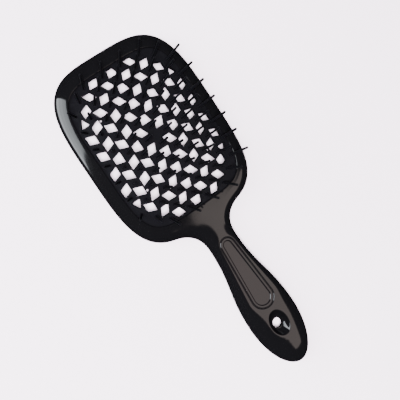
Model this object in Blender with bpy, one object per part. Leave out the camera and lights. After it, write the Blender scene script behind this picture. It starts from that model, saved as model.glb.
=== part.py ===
"""A massage comb with a vented mat of moulded pins, lying on its back with the pins up.

Two glossy shells form the head rim and the handle and clamp the mat's edge between them.
The comb's long axis lies along Y, with the head at +Y, and the table is Z = 0.
Each shell and the mat is the space between two sheets over one flat plan: the plan is
triangulated, each sheet is lifted to its own height, and walls join the sheets. Steps
within a sheet, such as a pocket or a peg, have the draft that lets a moulding leave
its tool.
"""

import math

import bpy
import numpy as np
from mathutils.geometry import delaunay_2d_cdt

# Head outline and its opening
HEAD_WIDTH = 0.0902
HEAD_LENGTH = 0.1204
HEAD_SQUARENESS = 3.7
RIM_SIDE_WIDTH = 0.0076
RIM_END_WIDTH = 0.0104
OPENING_SQUARENESS = 4.6

# Neck and handle: the neck is placed from the head's bottom edge, the belly from the end
SHOULDER_START = 0.024
SHOULDER_REACH = 0.009
NECK_WIDTH = 0.0192
NECK_FROM_HEAD = 0.0158
NECK_REACH = 0.010
HANDLE_WIDTH = 0.0324
HANDLE_LENGTH = 0.1028
BELLY_FROM_END = 0.0330
SHAFT_REACH_SHARE = 0.444

# Heights of the shells about their parting plane
PARTING_HEIGHT = 0.0055
SIDE_BAND = 0.0006
HEAD_RISE = 0.0057
HANDLE_RISE = 0.0064
HANDLE_END_RISE = 0.0052
NECK_BACK_LIFT = 0.0009
HEAD_ROUNDING = 0.0070
EDGE_FULLNESS = 2.2
CROWN_FULLNESS = 0.44
EDGE_FILLET = 0.0006
GAP = 0.0003

# Hollow handle, its bosses and the pegs that locate the shells
HANDLE_WALL = 0.0022
CEILING_THICKNESS = 0.0030
BULKHEAD = 0.0030
PEG_RADIUS = 0.0013
PEG_HEIGHT = 0.0026
BOSS_WALL = 0.0014
SOCKET_SPARE = 0.0004
PEG_ABOVE_NECK = 0.0090
PEG_FROM_END = 0.0100
DRAFT = 0.0002

# Teardrop panel on the handle
PANEL_TOP_BELOW_NECK = 0.0027
PANEL_TOP_RADIUS = 0.0047
PANEL_BOTTOM_FROM_END = 0.0467
PANEL_BOTTOM_RADIUS = 0.0073
PANEL_GROOVE_WIDTH = 0.0009
PANEL_GROOVE_DEPTH = 0.0005
PANEL_BEAD_WIDTH = 0.0015
PANEL_BEAD_HEIGHT = 0.00025
PANEL_RECESS = 0.0008
PANEL_WELT_WIDTH = 0.0011
PANEL_WELT_HEIGHT = 0.0002
PANEL_WELT_FADE = 0.00045

# Hang hole with its dish on both faces
HOLE_FROM_END = 0.0274
HOLE_RADIUS = 0.0031
HOLE_LENGTH = 0.0030
DISH_WIDTH = 0.0120
DISH_LENGTH = 0.0165
DISH_WALL = 0.0018

# Pin mat
MAT_THICKNESS = 0.0022
LIP_THICKNESS = 0.0014
FLANGE_WIDTH = 0.0024
DOME_HEIGHT = 0.0051
DOME_ROUND_SHARE = 0.27
FIELD_MARGIN = 0.0010
COLUMN_PITCH = 0.0066
ROW_PITCH = 0.00575
VENT_SIDE_BAR = 0.0011
VENT_END_BAR = 0.00045
VENT_LEAN = 0.0012
VENT_SLANT = 0.0010
VENT_STAGGER = 0.0005
VENT_TAPER = 0.0007
VENT_INSET = 0.0013
CORNER_LIMIT = 1.02
LEVEL_VENTS_FROM_ROW = {0: 0, 1: 1, 2: 6, 3: 5, 4: 8, 5: 5}
RELIEF_RADIUS = 0.0007
RELIEF_COLUMN = 3.4
RELIEF_ROW = 4.25
PIN_LENGTH = 0.0194
PIN_ROOT_RADIUS = 0.0008
PIN_RADIUS = 0.00056
PIN_TIP_RADIUS = 0.00048
PIN_ROOT_SHARE = 0.05
PIN_TIP_SHARE = 0.97

# Finish: colours as sRGB hex, turned linear below
SHELL_COLOUR = 0x08080A
SHELL_ROUGHNESS = 0.08
MAT_COLOUR = 0x0B0B0D
MAT_ROUGHNESS = 0.22

# How finely the round forms are divided
HEAD_POINTS = 31
SHOULDER_POINTS = 8
SHAFT_POINTS = 9
TAIL_POINTS = 10
OPENING_SIDES = 72
HOLE_SIDES = 24
POST_SIDES = 12
PANEL_SIDES = 40
RELIEF_SIDES = 8
PIN_SIDES = 6
RING_SHARES = (0.03, 0.11, 0.27, 0.50, 0.75, 1.0)
HOLLOW_RING_SHARES = (0.36, 0.7)
WIDEST_HANDLE_RING = 0.85
DISH_SHARES = (0.3, 0.65, 1.0, 1.15)
DISH_CLEARANCE = 0.25
FILLET_SHARES = (0.4, 1.0)
GUIDE_MARGIN = 0.0001
CREASE_ANGLE = math.radians(35)

# Less than any real size, to keep a division from nothing
TINY = 0.00002

# Worked out from the sizes above
HEAD_HALF = np.array([HEAD_WIDTH, HEAD_LENGTH]) / 2
NECK_DISTANCE = HEAD_HALF[1] + NECK_FROM_HEAD
HANDLE_DISTANCE = HEAD_HALF[1] + HANDLE_LENGTH
BELLY_DISTANCE = HANDLE_DISTANCE - BELLY_FROM_END
PANEL_TOP_DISTANCE = NECK_DISTANCE + PANEL_TOP_BELOW_NECK
PANEL_BOTTOM_DISTANCE = HANDLE_DISTANCE - PANEL_BOTTOM_FROM_END
HOLE_CENTRE = np.array([0.0, HOLE_FROM_END - HANDLE_DISTANCE])
OPENING_HALF = HEAD_HALF - (RIM_SIDE_WIDTH, RIM_END_WIDTH)
MAT_HALF = OPENING_HALF + FLANGE_WIDTH
POCKET_HALF = MAT_HALF + GAP
DOME_HALF = OPENING_HALF - GAP
FIELD_HALF = OPENING_HALF - FIELD_MARGIN
VENT_WIDTH = COLUMN_PITCH - VENT_SIDE_BAR
VENT_HEIGHT = ROW_PITCH - VENT_END_BAR
LIP_UNDERSIDE = PARTING_HEIGHT + HEAD_RISE - LIP_THICKNESS
MAT_EDGE_HEIGHT = LIP_UNDERSIDE - GAP
SEAT_HEIGHT = MAT_EDGE_HEIGHT - MAT_THICKNESS - GAP
FRONT_LAND = PARTING_HEIGHT + GAP / 2
BACK_LAND = PARTING_HEIGHT - GAP / 2
BULKHEAD_Y = -(POCKET_HALF[1] + BULKHEAD)
SOCKET_DEPTH = PEG_HEIGHT + GAP + SOCKET_SPARE
BOSS_RADIUS = PEG_RADIUS + GAP + BOSS_WALL
DISH_HALF = np.array([DISH_WIDTH, DISH_LENGTH]) / 2
PANEL_CENTRES = np.array([[0.0, -PANEL_TOP_DISTANCE], [0.0, -PANEL_BOTTOM_DISTANCE]])
PANEL_RADII = np.array([PANEL_TOP_RADIUS, PANEL_BOTTOM_RADIUS])
PANEL_REACH = PANEL_GROOVE_WIDTH / 2 + PANEL_WELT_WIDTH + PANEL_WELT_FADE
ORIGIN_Y = (HANDLE_DISTANCE - HEAD_HALF[1]) / 2


def clear_scene():
    """Remove every object that the file opens with."""
    for obj in list(bpy.data.objects):
        bpy.data.objects.remove(obj, do_unlink=True)


def linear(hex_colour):
    """Turn one sRGB hex colour to linear red, green, blue and alpha."""
    channels = [(hex_colour >> shift & 255) / 255 for shift in (16, 8, 0)]
    return [c / 12.92 if c <= 0.04045 else ((c + 0.055) / 1.055) ** 2.4 for c in channels] + [1.0]


def plastic(name, hex_colour, roughness):
    """Glossy moulded plastic of one colour."""
    material = bpy.data.materials.new(name)
    material.use_nodes = True
    shader = material.node_tree.nodes["Principled BSDF"]
    shader.inputs["Base Color"].default_value = linear(hex_colour)
    shader.inputs["Roughness"].default_value = roughness
    shader.inputs["Metallic"].default_value = 0.0
    return material


def smooth_step(value, start, end):
    """Ease from 0 at start to 1 at end."""
    share = np.clip((value - start) / (end - start), 0, 1)
    return share * share * (3 - 2 * share)


def superellipse(half, squareness, count):
    """Points round a rounded rectangle |x/a|^n + |y/b|^n = 1."""
    angle = np.linspace(0, 2 * math.pi, count, endpoint=False)
    way = np.column_stack([np.cos(angle), np.sin(angle)])
    radius = (np.abs(way / half) ** squareness).sum(axis=1) ** (-1 / squareness)
    return way * radius[:, None]


def superellipse_norm(points, half, squareness):
    """The share of the way from the centre to the rounded rectangle's edge."""
    return (np.abs(points / half) ** squareness).sum(axis=1) ** (1 / squareness)


def bezier(corners, count):
    """Points along a cubic curve, without its first point."""
    t = np.linspace(0, 1, count + 1)[1:, None]
    a, b, c, d = np.array(corners, float)
    return (1 - t) ** 3 * a + 3 * t * (1 - t) ** 2 * b + 3 * t * t * (1 - t) * c + t**3 * d


def circle(centre, half, count):
    """Points round a circle or an ellipse."""
    angle = np.linspace(0, 2 * math.pi, count, endpoint=False)
    return np.asarray(centre) + np.column_stack([np.cos(angle), np.sin(angle)]) * half


def comb_outline():
    """Head, shoulders, neck and handle as one loop, anticlockwise from the handle's end."""
    a, b = HEAD_HALF
    n = HEAD_SQUARENESS
    start = np.array([SHOULDER_START, -b * (1 - (SHOULDER_START / a) ** n) ** (1 / n)])
    slope = (start[0] / a) ** (n - 1) / (-start[1] / b) ** (n - 1) * b / a
    way = np.array([-1.0, -slope]) / math.hypot(1, slope)
    neck = np.array([NECK_WIDTH / 2, -NECK_DISTANCE])
    belly = np.array([HANDLE_WIDTH / 2, -BELLY_DISTANCE])
    down = np.array([0.0, -1.0])
    low_angle = math.atan2(start[1], start[0])
    angle = np.linspace(math.pi / 2, low_angle, HEAD_POINTS)
    ray = np.column_stack([np.cos(angle), np.sin(angle)])
    head = ray * ((np.abs(ray / HEAD_HALF) ** n).sum(axis=1) ** (-1 / n))[:, None]
    shoulder = bezier([start, start + SHOULDER_REACH * way, neck - NECK_REACH * down, neck],
                      SHOULDER_POINTS)
    reach = SHAFT_REACH_SHARE * (belly - neck) * (0, 1)
    shaft = bezier([neck, neck + reach, belly - reach, belly], SHAFT_POINTS)
    turn = np.linspace(0, math.pi / 2, TAIL_POINTS + 1)[1:]
    tail = HANDLE_DISTANCE - BELLY_DISTANCE
    end = belly + np.column_stack([(np.cos(turn) - 1) * belly[0], -np.sin(turn) * tail])
    right = np.vstack([head, shoulder, shaft, end])
    right[[0, -1], 0] = 0.0
    left = right[-2:0:-1] * (-1, 1)
    return np.vstack([right[::-1], left[::-1]])


def inward(loop, distance):
    """Move each point of an anticlockwise loop inwards, square to the loop."""
    along = np.roll(loop, -1, axis=0) - np.roll(loop, 1, axis=0)
    along /= np.linalg.norm(along, axis=1)[:, None]
    across = np.column_stack([-along[:, 1], along[:, 0]])
    return loop + across * np.reshape(distance, (-1, 1))


def is_inside(points, loop):
    """Even-odd test of points against a closed loop."""
    x, y = points[:, :1], points[:, 1:]
    x1, y1 = loop.T
    x2, y2 = np.roll(loop, -1, axis=0).T
    spans = (y1 > y) != (y2 > y)
    rise = np.where(y2 == y1, 1, y2 - y1)
    crosses = spans & (x < x1 + (y - y1) * (x2 - x1) / rise)
    return crosses.sum(axis=1) % 2 == 1


def distance_to(points, loop):
    """Least distance from each point to a closed loop."""
    start, end = loop, np.roll(loop, -1, axis=0)
    way = end - start
    offset = points[:, None] - start
    share = (offset * way).sum(axis=2) / (way * way).sum(axis=1)
    nearest = offset - np.clip(share, 0, 1)[..., None] * way
    return np.linalg.norm(nearest, axis=2).min(axis=1)


OUTLINE = comb_outline()
OPENING_LOOP = superellipse(OPENING_HALF, OPENING_SQUARENESS, OPENING_SIDES)
HOLE_LOOP = circle(HOLE_CENTRE, HOLE_RADIUS, HOLE_SIDES)


def half_width(y):
    """Half the comb's width at y."""
    right = OUTLINE[OUTLINE[:, 0] >= 0]
    right = right[np.argsort(right[:, 1])]
    return np.interp(y, right[:, 1], right[:, 0])


def handle_share(y):
    """0 on the head, 1 from just above the neck down."""
    return smooth_step(-y, HEAD_HALF[1] - HEAD_ROUNDING, NECK_DISTANCE - NECK_REACH / 2)


def roundness(points):
    """0 at the outline and 1 on the crown.

    Round the head it is a quarter of a full ellipse across the rim's outer edge. Along the
    handle it is 1 - x^2/w^2 to a power under a half, and round the handle's end the same
    with the end's ellipse in place of the width.
    """
    x, y = points.T
    share = np.clip(distance_to(points, OUTLINE) / HEAD_ROUNDING, 0, 1)
    rim = (1 - (1 - share) ** EDGE_FULLNESS) ** (1 / EDGE_FULLNESS)
    beyond = np.clip((-y - BELLY_DISTANCE) / (HANDLE_DISTANCE - BELLY_DISTANCE), 0, 1)
    width = np.where(beyond > 0, HANDLE_WIDTH / 2, np.maximum(half_width(y), TINY))
    handle = np.clip(1 - beyond**2 - (x / width) ** 2, 0, 1) ** CROWN_FULLNESS
    return rim + (handle - rim) * handle_share(y)


def crown(points):
    """Smooth front surface, without the panel, the dish and the fillets."""
    y = points[:, 1]
    rise = HEAD_RISE + (HANDLE_RISE - HEAD_RISE) * smooth_step(-y, OPENING_HALF[1], BELLY_DISTANCE)
    rise = rise - (HANDLE_RISE - HANDLE_END_RISE) * smooth_step(-y, NECK_DISTANCE, HANDLE_DISTANCE)
    base = GAP / 2 + SIDE_BAND
    return PARTING_HEIGHT + base + (rise - base) * roundness(points)


def back(points):
    """Smooth back surface: level behind the rim and the grip, a little raised at the neck."""
    y = points[:, 1]
    bump = smooth_step(-y, HEAD_HALF[1] - RIM_END_WIDTH / 2, NECK_DISTANCE)
    bump = bump * (1 - smooth_step(-y, NECK_DISTANCE, BELLY_DISTANCE))
    base = GAP / 2 + SIDE_BAND
    depth = PARTING_HEIGHT - NECK_BACK_LIFT * bump
    return PARTING_HEIGHT - base - (depth - base) * roundness(points)


def panel_loop(offset):
    """The teardrop round two circles, moved outwards by an offset."""
    angle = np.linspace(0, 2 * math.pi, PANEL_SIDES, endpoint=False)
    way = np.column_stack([np.cos(angle), np.sin(angle)])
    nearest = (way @ PANEL_CENTRES.T + PANEL_RADII).argmax(axis=1)
    return PANEL_CENTRES[nearest] + way * (PANEL_RADII[nearest] + offset)[:, None]


def panel_distance(points):
    """Distance outside the teardrop, negative inside it."""
    across = np.abs(points[:, 0])
    up = points[:, 1] + PANEL_BOTTOM_DISTANCE
    length = PANEL_BOTTOM_DISTANCE - PANEL_TOP_DISTANCE
    lean = (PANEL_BOTTOM_RADIUS - PANEL_TOP_RADIUS) / length
    level = math.sqrt(1 - lean * lean)
    along = level * up - lean * across
    low = np.hypot(across, up) - PANEL_BOTTOM_RADIUS
    high = np.hypot(across, up - length) - PANEL_TOP_RADIUS
    side = level * across + lean * up - PANEL_BOTTOM_RADIUS
    return np.where(along < 0, low, np.where(along > level * length, high, side))


def panel_relief(points):
    """Welt, groove, bead and recess of the teardrop panel, as a change of height."""
    out = panel_distance(points)
    half = PANEL_GROOVE_WIDTH / 2
    welt_end = half + PANEL_WELT_WIDTH
    welt = PANEL_WELT_HEIGHT * np.clip((out - half) / PANEL_WELT_WIDTH, 0, 1)
    welt = welt * (1 - smooth_step(out, welt_end, welt_end + PANEL_WELT_FADE))
    groove = np.clip(1 - (out / half) ** 2, 0, 1)
    middle = -half - PANEL_BEAD_WIDTH / 2
    bead = np.clip(1 - ((out - middle) / (PANEL_BEAD_WIDTH / 2)) ** 2, 0, 1)
    bead_end = half + PANEL_BEAD_WIDTH
    recess = smooth_step(-out, bead_end, bead_end + half)
    return (welt + PANEL_BEAD_HEIGHT * bead - PANEL_GROOVE_DEPTH * groove
            - PANEL_RECESS * recess)


def dish_share(points):
    """0 at the hang hole's edge and 1 at the dish's edge, along rays from the hole."""
    offset = points - HOLE_CENTRE
    radius = np.linalg.norm(offset, axis=1)
    way = offset / np.maximum(radius, TINY)[:, None]
    edge = 1 / np.linalg.norm(way / DISH_HALF, axis=1)
    return (radius - HOLE_RADIUS) / (edge - HOLE_RADIUS)


def dished(points, surface, waist):
    """A surface sunk inside the dish as a bowl, down to the hang hole's waist."""
    into = np.clip(1 - dish_share(points), 0, 1)
    return surface + (waist - surface) * np.sin(into * math.pi / 2)


def opening_fillet(points):
    """Drop of the rounded edge round the head's opening."""
    beyond = distance_to(points, OPENING_LOOP)
    near = np.clip(1 - beyond / EDGE_FILLET, 0, 1)
    return EDGE_FILLET * (1 - np.sqrt(1 - near**2))


def front_surface(points):
    """Visible surface of the front shell."""
    surface = crown(points) + panel_relief(points) - opening_fillet(points)
    return dished(points, surface, PARTING_HEIGHT + HOLE_LENGTH / 2)


def back_surface(points):
    """Visible surface of the back shell."""
    surface = back(points) + opening_fillet(points)
    return dished(points, surface, PARTING_HEIGHT - HOLE_LENGTH / 2)


def within(loops, margin=0.0):
    """A test for points inside the first loop and outside the others, by a margin."""

    def test(points):
        kept = is_inside(points, loops[0])
        for hole in loops[1:]:
            kept &= ~is_inside(points, hole)
        if margin:
            for loop in loops:
                kept &= distance_to(points, loop) > margin
        return kept

    return test


def stretches(guide, test):
    """The parts of a guide that pass a test. A guide is a run of points and whether it closes."""
    run, closes = guide
    passed = test(run)
    if passed.all():
        return [guide]
    start = int(np.argmin(passed)) if closes else 0
    parts = [[]]
    for index in np.roll(np.arange(len(run)), -start):
        if passed[index]:
            parts[-1].append(run[index])
        elif parts[-1]:
            parts.append([])
    return [(np.array(part), False) for part in parts if len(part) > 1]


def closed(loops):
    """Closed guides from loops."""
    return [(loop, True) for loop in loops]


def triangulate(loops, guides):
    """Triangles over the plan inside the first loop and outside the others.

    The triangles follow the guides wherever these lie clear of the plan's edges. The
    result is the plan's points, its anticlockwise triangles, and where each loop's
    points ended up.
    """
    clear = within(loops, GUIDE_MARGIN)
    runs = closed(loops)
    for guide in guides:
        runs += stretches(guide, clear)
    points = np.vstack([run for run, _ in runs])
    edges = []
    first = 0
    for run, closes in runs:
        last = len(run) if closes else len(run) - 1
        edges += [(first + i, first + (i + 1) % len(run)) for i in range(last)]
        first += len(run)
    found = delaunay_2d_cdt([tuple(p) for p in points * 1000], edges, [], 0, 1e-5, True)
    plan = np.array([tuple(p) for p in found[0]]) / 1000
    place = np.empty(len(points), int)
    for index, sources in enumerate(found[3]):
        place[list(sources)] = index
    faces = np.array(found[2])
    faces = faces[within(loops)(plan[faces].mean(axis=1))]
    a, b, c = (plan[faces[:, i]] for i in range(3))
    turn = (b - a)[:, 0] * (c - a)[:, 1] - (b - a)[:, 1] * (c - a)[:, 0]
    faces[turn < 0] = faces[turn < 0][:, ::-1]
    ends = np.cumsum([len(loop) for loop in loops])
    places = [place[end - len(loop) : end] for loop, end in zip(loops, ends)]
    return plan, faces, places


def walls(upper, lower, outer):
    """Two triangles a side between two matching loops."""
    next_upper, next_lower = np.roll(upper, -1), np.roll(lower, -1)
    sides = np.vstack(
        [np.column_stack([lower, next_lower, next_upper]), np.column_stack([lower, next_upper, upper])]
    )
    return sides if outer else sides[:, ::-1]


def object_from(name, vertices, faces, material, parent):
    """A smooth-shaded object with sharp creases, hung from the comb's origin."""
    mesh = bpy.data.meshes.new(name)
    mesh.from_pydata(vertices.tolist(), [], faces.tolist())
    mesh.shade_smooth()
    mesh.set_sharp_from_angle(angle=CREASE_ANGLE)
    mesh.materials.append(material)
    obj = bpy.data.objects.new(name, mesh)
    bpy.context.collection.objects.link(obj)
    obj.parent = parent


def between(name, loops, top, top_guides, under, under_guides, material, parent):
    """A closed solid between two sheets over one plan, each sheet with its own guides."""
    top_plan, top_faces, top_places = triangulate(loops, top_guides)
    under_plan, under_faces, under_places = triangulate(loops, under_guides)
    shift = len(top_plan)
    vertices = np.vstack(
        [np.column_stack([top_plan, top(top_plan)]), np.column_stack([under_plan, under(under_plan)])]
    )
    faces = [top_faces, under_faces[:, ::-1] + shift]
    for index, (upper, lower) in enumerate(zip(top_places, under_places)):
        faces.append(walls(upper, lower + shift, index == 0))
    object_from(name, vertices, np.vstack(faces), material, parent)


def peg_places():
    """Plan positions of the pegs down the handle's middle, and of these with the rim's four.

    The handle's pegs stand above the neck, behind the panel's middle and near the end.
    """
    panel_middle = (PANEL_TOP_DISTANCE + PANEL_BOTTOM_DISTANCE) / 2
    distances = (NECK_DISTANCE - PEG_ABOVE_NECK, panel_middle, HANDLE_DISTANCE - PEG_FROM_END)
    handle = np.array([[0.0, -distance] for distance in distances])
    way = HEAD_HALF / np.linalg.norm(HEAD_HALF)
    outer = 1 / superellipse_norm(way[None], HEAD_HALF, HEAD_SQUARENESS)[0]
    inner = 1 / superellipse_norm(way[None], POCKET_HALF, OPENING_SQUARENESS)[0]
    corner = way * (outer + inner) / 2
    rim = np.array([[sx * corner[0], sy * corner[1]] for sx in (1, -1) for sy in (1, -1)])
    return handle, np.vstack([handle, rim])


HANDLE_PEGS, ALL_PEGS = peg_places()


def rounding_rings(shares):
    """Loops that follow the outline inwards: by the rim's rounding round the head, and
    towards the middle line and the middle of the end's ellipse along the handle."""
    turned = handle_share(OUTLINE[:, 1])[:, None]
    middle = np.column_stack([np.zeros(len(OUTLINE)), np.maximum(OUTLINE[:, 1], -BELLY_DISTANCE)])
    rings = []
    for share in shares:
        head = inward(OUTLINE, share * HEAD_ROUNDING)
        handle = OUTLINE + share * WIDEST_HANDLE_RING * (middle - OUTLINE)
        rings.append(head + (handle - head) * turned)
    return rings


def dish_rings():
    """Loops round the hang hole, out to the dish's edge."""
    angle = np.linspace(0, 2 * math.pi, HOLE_SIDES, endpoint=False)
    way = np.column_stack([np.cos(angle), np.sin(angle)])
    edge = 1 / np.linalg.norm(way / DISH_HALF, axis=1)
    return [HOLE_CENTRE + way * (HOLE_RADIUS + share * (edge - HOLE_RADIUS))[:, None]
            for share in DISH_SHARES]


def clear_of_details(ring, with_panel):
    """A ring without its points in the dish, in the panel or in the opening's fillet."""
    clear = dish_share(ring) > 1 + DISH_CLEARANCE
    clear &= superellipse_norm(ring, OPENING_HALF + 2 * EDGE_FILLET, OPENING_SQUARENESS) > 1
    if with_panel:
        clear &= panel_distance(ring) > PANEL_REACH + PANEL_GROOVE_WIDTH / 2
    return clear


def surface_guides(with_panel):
    """Edges that a visible surface needs: its rounding, the dish, the fillet and the panel."""
    loops = dish_rings()
    loops += [superellipse(OPENING_HALF + share * EDGE_FILLET, OPENING_SQUARENESS, OPENING_SIDES)
              for share in FILLET_SHARES]
    if with_panel:
        half = PANEL_GROOVE_WIDTH / 2
        bead = PANEL_BEAD_WIDTH
        loops += [panel_loop(offset) for offset in
                  (PANEL_REACH, half + PANEL_WELT_WIDTH, half, 0, -half, -half - bead / 2,
                   -half - bead, -2 * half - bead)]
    guides = closed(loops)
    for guide in closed(rounding_rings(RING_SHARES)):
        guides += stretches(guide, lambda points: clear_of_details(points, with_panel))
    return guides


def cavity_edge(offset):
    """The hollow's edge: the outline moved in by the wall, up to the bulkhead behind the mat."""
    edge = inward(OUTLINE, HANDLE_WALL - offset)
    edge = edge[edge[:, 1] < BULKHEAD_Y + offset]
    start = int(np.argmax(np.linalg.norm(edge - np.roll(edge, 1, axis=0), axis=1)))
    return np.roll(edge, -start, axis=0)


def dish_wall(offset):
    """The outer edge of the wall that stands round the dish."""
    return circle(HOLE_CENTRE, DISH_HALF + DISH_WALL + offset, HOLE_SIDES)


def drafted(loop_at):
    """The two loops of a drafted step, given the loop at an offset."""
    return closed([loop_at(0), loop_at(DRAFT)])


def near_post(points, centres, radius):
    """Whether points lie on round posts, as far as the middle of their draft."""
    distance = np.linalg.norm(points[:, None] - centres, axis=2).min(axis=1)
    return distance < radius + DRAFT / 2


def hidden_guides(mat_half, peg_radius):
    """Edges that a hidden side needs: the mat's seat or pocket, the hollow, bosses and pegs."""
    guides = drafted(lambda offset: superellipse(mat_half + offset, OPENING_SQUARENESS, OPENING_SIDES))
    guides += drafted(cavity_edge) + drafted(dish_wall)
    for centre in HANDLE_PEGS:
        guides += drafted(lambda offset: circle(centre, BOSS_RADIUS + offset, POST_SIDES))
    for centre in ALL_PEGS:
        guides += drafted(lambda offset: circle(centre, peg_radius + offset, POST_SIDES))
    for ring in rounding_rings(HOLLOW_RING_SHARES):
        guides += stretches((ring, True), in_hollow)
    return guides


def in_hollow(points):
    """Where the handle is hollow: inside its walls, clear of bosses and of the dish's wall."""
    clear = ~near_post(points, HANDLE_PEGS, BOSS_RADIUS)
    clear &= ~is_inside(points, dish_wall(DRAFT / 2))
    return clear & is_inside(points, cavity_edge(DRAFT / 2))


def front_hidden(points):
    """Hidden side of the front shell: land, mat pocket, hollow and sockets."""
    pocket = superellipse_norm(points, POCKET_HALF + DRAFT / 2, OPENING_SQUARENESS) < 1
    height = np.where(pocket, LIP_UNDERSIDE, FRONT_LAND)
    ceiling = np.maximum(crown(points) - CEILING_THICKNESS, FRONT_LAND)
    height = np.where(in_hollow(points), ceiling, height)
    socket = near_post(points, ALL_PEGS, PEG_RADIUS + GAP)
    return np.where(socket, PARTING_HEIGHT + SOCKET_DEPTH, height)


def back_hidden(points):
    """Hidden side of the back shell: land, the rib that clamps the mat, hollow and pegs."""
    rib = superellipse_norm(points, MAT_HALF + DRAFT / 2, OPENING_SQUARENESS) < 1
    height = np.where(rib, SEAT_HEIGHT, BACK_LAND)
    floor = np.minimum(back(points) + HANDLE_WALL, BACK_LAND)
    height = np.where(in_hollow(points), floor, height)
    return np.where(near_post(points, ALL_PEGS, PEG_RADIUS), PARTING_HEIGHT + PEG_HEIGHT, height)


def dome(points):
    """Height and upward direction of the mat's top: a soft dome inside a flat flange."""
    share = superellipse_norm(points, DOME_HALF, OPENING_SQUARENESS)
    inside = np.minimum(share, 1)
    rise = 1 - DOME_ROUND_SHARE * inside**2 - (1 - DOME_ROUND_SHARE) * inside**4
    fall = DOME_HEIGHT * (2 * DOME_ROUND_SHARE * inside + 4 * (1 - DOME_ROUND_SHARE) * inside**3)
    fall = np.where(share < 1, fall, 0)
    q = OPENING_SQUARENESS
    reach = np.abs(points / DOME_HALF) ** (q - 1) * np.sign(points) / DOME_HALF
    slope = reach * (np.maximum(share, TINY) ** (1 - q) * fall)[:, None]
    up = np.column_stack([slope, np.ones(len(points))])
    up /= np.linalg.norm(up, axis=1)[:, None]
    return MAT_EDGE_HEIGHT + DOME_HEIGHT * rise, up


def vent_corners(column, row):
    """Corners of one vent about its middle, for a column and a row that aren't negative.

    Vents near the ends have level sides and lean sideways, the others have upright sides
    and slant. Odd columns lean outwards and even ones inwards, which gives the mat its
    tumbling-block look.
    """
    lean = 1 if column % 2 else -1
    width, height = VENT_WIDTH / 2, VENT_HEIGHT / 2
    if column == 0:
        wide, narrow = width + VENT_TAPER, width - VENT_TAPER
        return np.array([(-wide, -height), (wide, -height), (narrow, height), (-narrow, height)])
    if row >= LEVEL_VENTS_FROM_ROW.get(column, 0):
        shift = lean * VENT_LEAN
        return np.array([(-width - shift, -height), (width - shift, -height),
                         (width + shift, height), (-width + shift, height)])
    if row == 0:
        tall, short = height + VENT_TAPER, height - VENT_TAPER
        return np.array([(-width, -tall), (width, -short), (width, short), (-width, tall)])
    slant, lift = lean * VENT_SLANT, lean * VENT_STAGGER
    return np.array([(-width, lift - height - slant), (width, lift - height + slant),
                     (width, lift + height + slant), (-width, lift + height - slant)])


def vents():
    """Every open cell of the mat, as loops.

    A corner just past the border is drawn in to it, and one further out is left off.
    """
    found = []
    columns = int(FIELD_HALF[0] / COLUMN_PITCH) + 1
    rows = int(FIELD_HALF[1] / ROW_PITCH) + 1
    for column in range(-columns, columns + 1):
        for row in range(-rows, rows + 1):
            if (column + row) % 2 or column == row == 0:
                continue
            mirror = np.array([-1.0 if column < 0 else 1.0, -1.0 if row < 0 else 1.0])
            centre = np.array([column * COLUMN_PITCH, row * ROW_PITCH])
            if superellipse_norm(centre[None], FIELD_HALF - VENT_INSET, OPENING_SQUARENESS)[0] > 1:
                continue
            corners = centre + vent_corners(abs(column), abs(row)) * mirror
            beyond = superellipse_norm(corners, FIELD_HALF, OPENING_SQUARENESS)
            corners = (corners / np.maximum(beyond, 1)[:, None])[beyond < CORNER_LIMIT]
            found.append(corners if mirror.prod() > 0 else corners[::-1])
    for side in (-1, 1):
        for end in (-1, 1):
            centre = (side * RELIEF_COLUMN * COLUMN_PITCH, end * RELIEF_ROW * ROW_PITCH)
            found.append(circle(centre, RELIEF_RADIUS, RELIEF_SIDES))
    return found


def pin_feet():
    """Plan position of every pin: one on each closed cell inside the border."""
    columns = int(FIELD_HALF[0] / COLUMN_PITCH)
    rows = int(FIELD_HALF[1] / ROW_PITCH)
    cells = [(c, r) for c in range(-columns, columns + 1) for r in range(-rows, rows + 1) if (c + r) % 2]
    feet = np.array(cells) * (COLUMN_PITCH, ROW_PITCH)
    return feet[superellipse_norm(feet, FIELD_HALF - PIN_ROOT_RADIUS, OPENING_SQUARENESS) < 1]


def pin_mat(material, parent):
    """The vent mat with its pins, as one closed moulding."""
    border = superellipse(MAT_HALF, OPENING_SQUARENESS, OPENING_SIDES)
    crease = superellipse(DOME_HALF, OPENING_SQUARENESS, OPENING_SIDES)
    holes = vents()
    feet = pin_feet()
    roots = [circle(foot, PIN_ROOT_RADIUS, PIN_SIDES) for foot in feet]
    through = [border] + holes
    top_plan, top_faces, places = triangulate(through + roots, closed([crease]))
    under_plan, under_faces, under_places = triangulate(through, closed([crease]))
    height, _ = dome(top_plan)
    top = np.column_stack([top_plan, height])
    height, up = dome(under_plan)
    under = np.column_stack([under_plan, height]) - up * MAT_THICKNESS
    vertices = [top, under]
    shift = len(top)
    faces = [top_faces, under_faces[:, ::-1] + shift]
    for index, lower in enumerate(under_places):
        faces.append(walls(places[index], lower + shift, index == 0))
    count = shift + len(under)
    height, up = dome(feet)
    base = np.column_stack([feet, height])
    rings = ((PIN_ROOT_SHARE, PIN_RADIUS), (PIN_TIP_SHARE, PIN_TIP_RADIUS), (1, PIN_TIP_RADIUS / 2))
    for index, root in enumerate(places[len(through):]):
        way = up[index]
        across = np.cross([0.0, 1.0, 0.0], way)
        across /= np.linalg.norm(across)
        along = np.cross(way, across)
        below = root
        for share, radius in rings:
            ring = circle((0, 0), radius, PIN_SIDES)
            middle = base[index] + way * PIN_LENGTH * share
            vertices.append(middle + ring[:, :1] * across + ring[:, 1:] * along)
            above = count + np.arange(PIN_SIDES)
            faces.append(walls(above, below, True))
            below = above
            count += PIN_SIDES
        faces.append(np.array([(below[0], below[i], below[i + 1]) for i in range(1, PIN_SIDES - 1)]))
    object_from("pin_mat", np.vstack(vertices), np.vstack(faces), material, parent)


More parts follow.
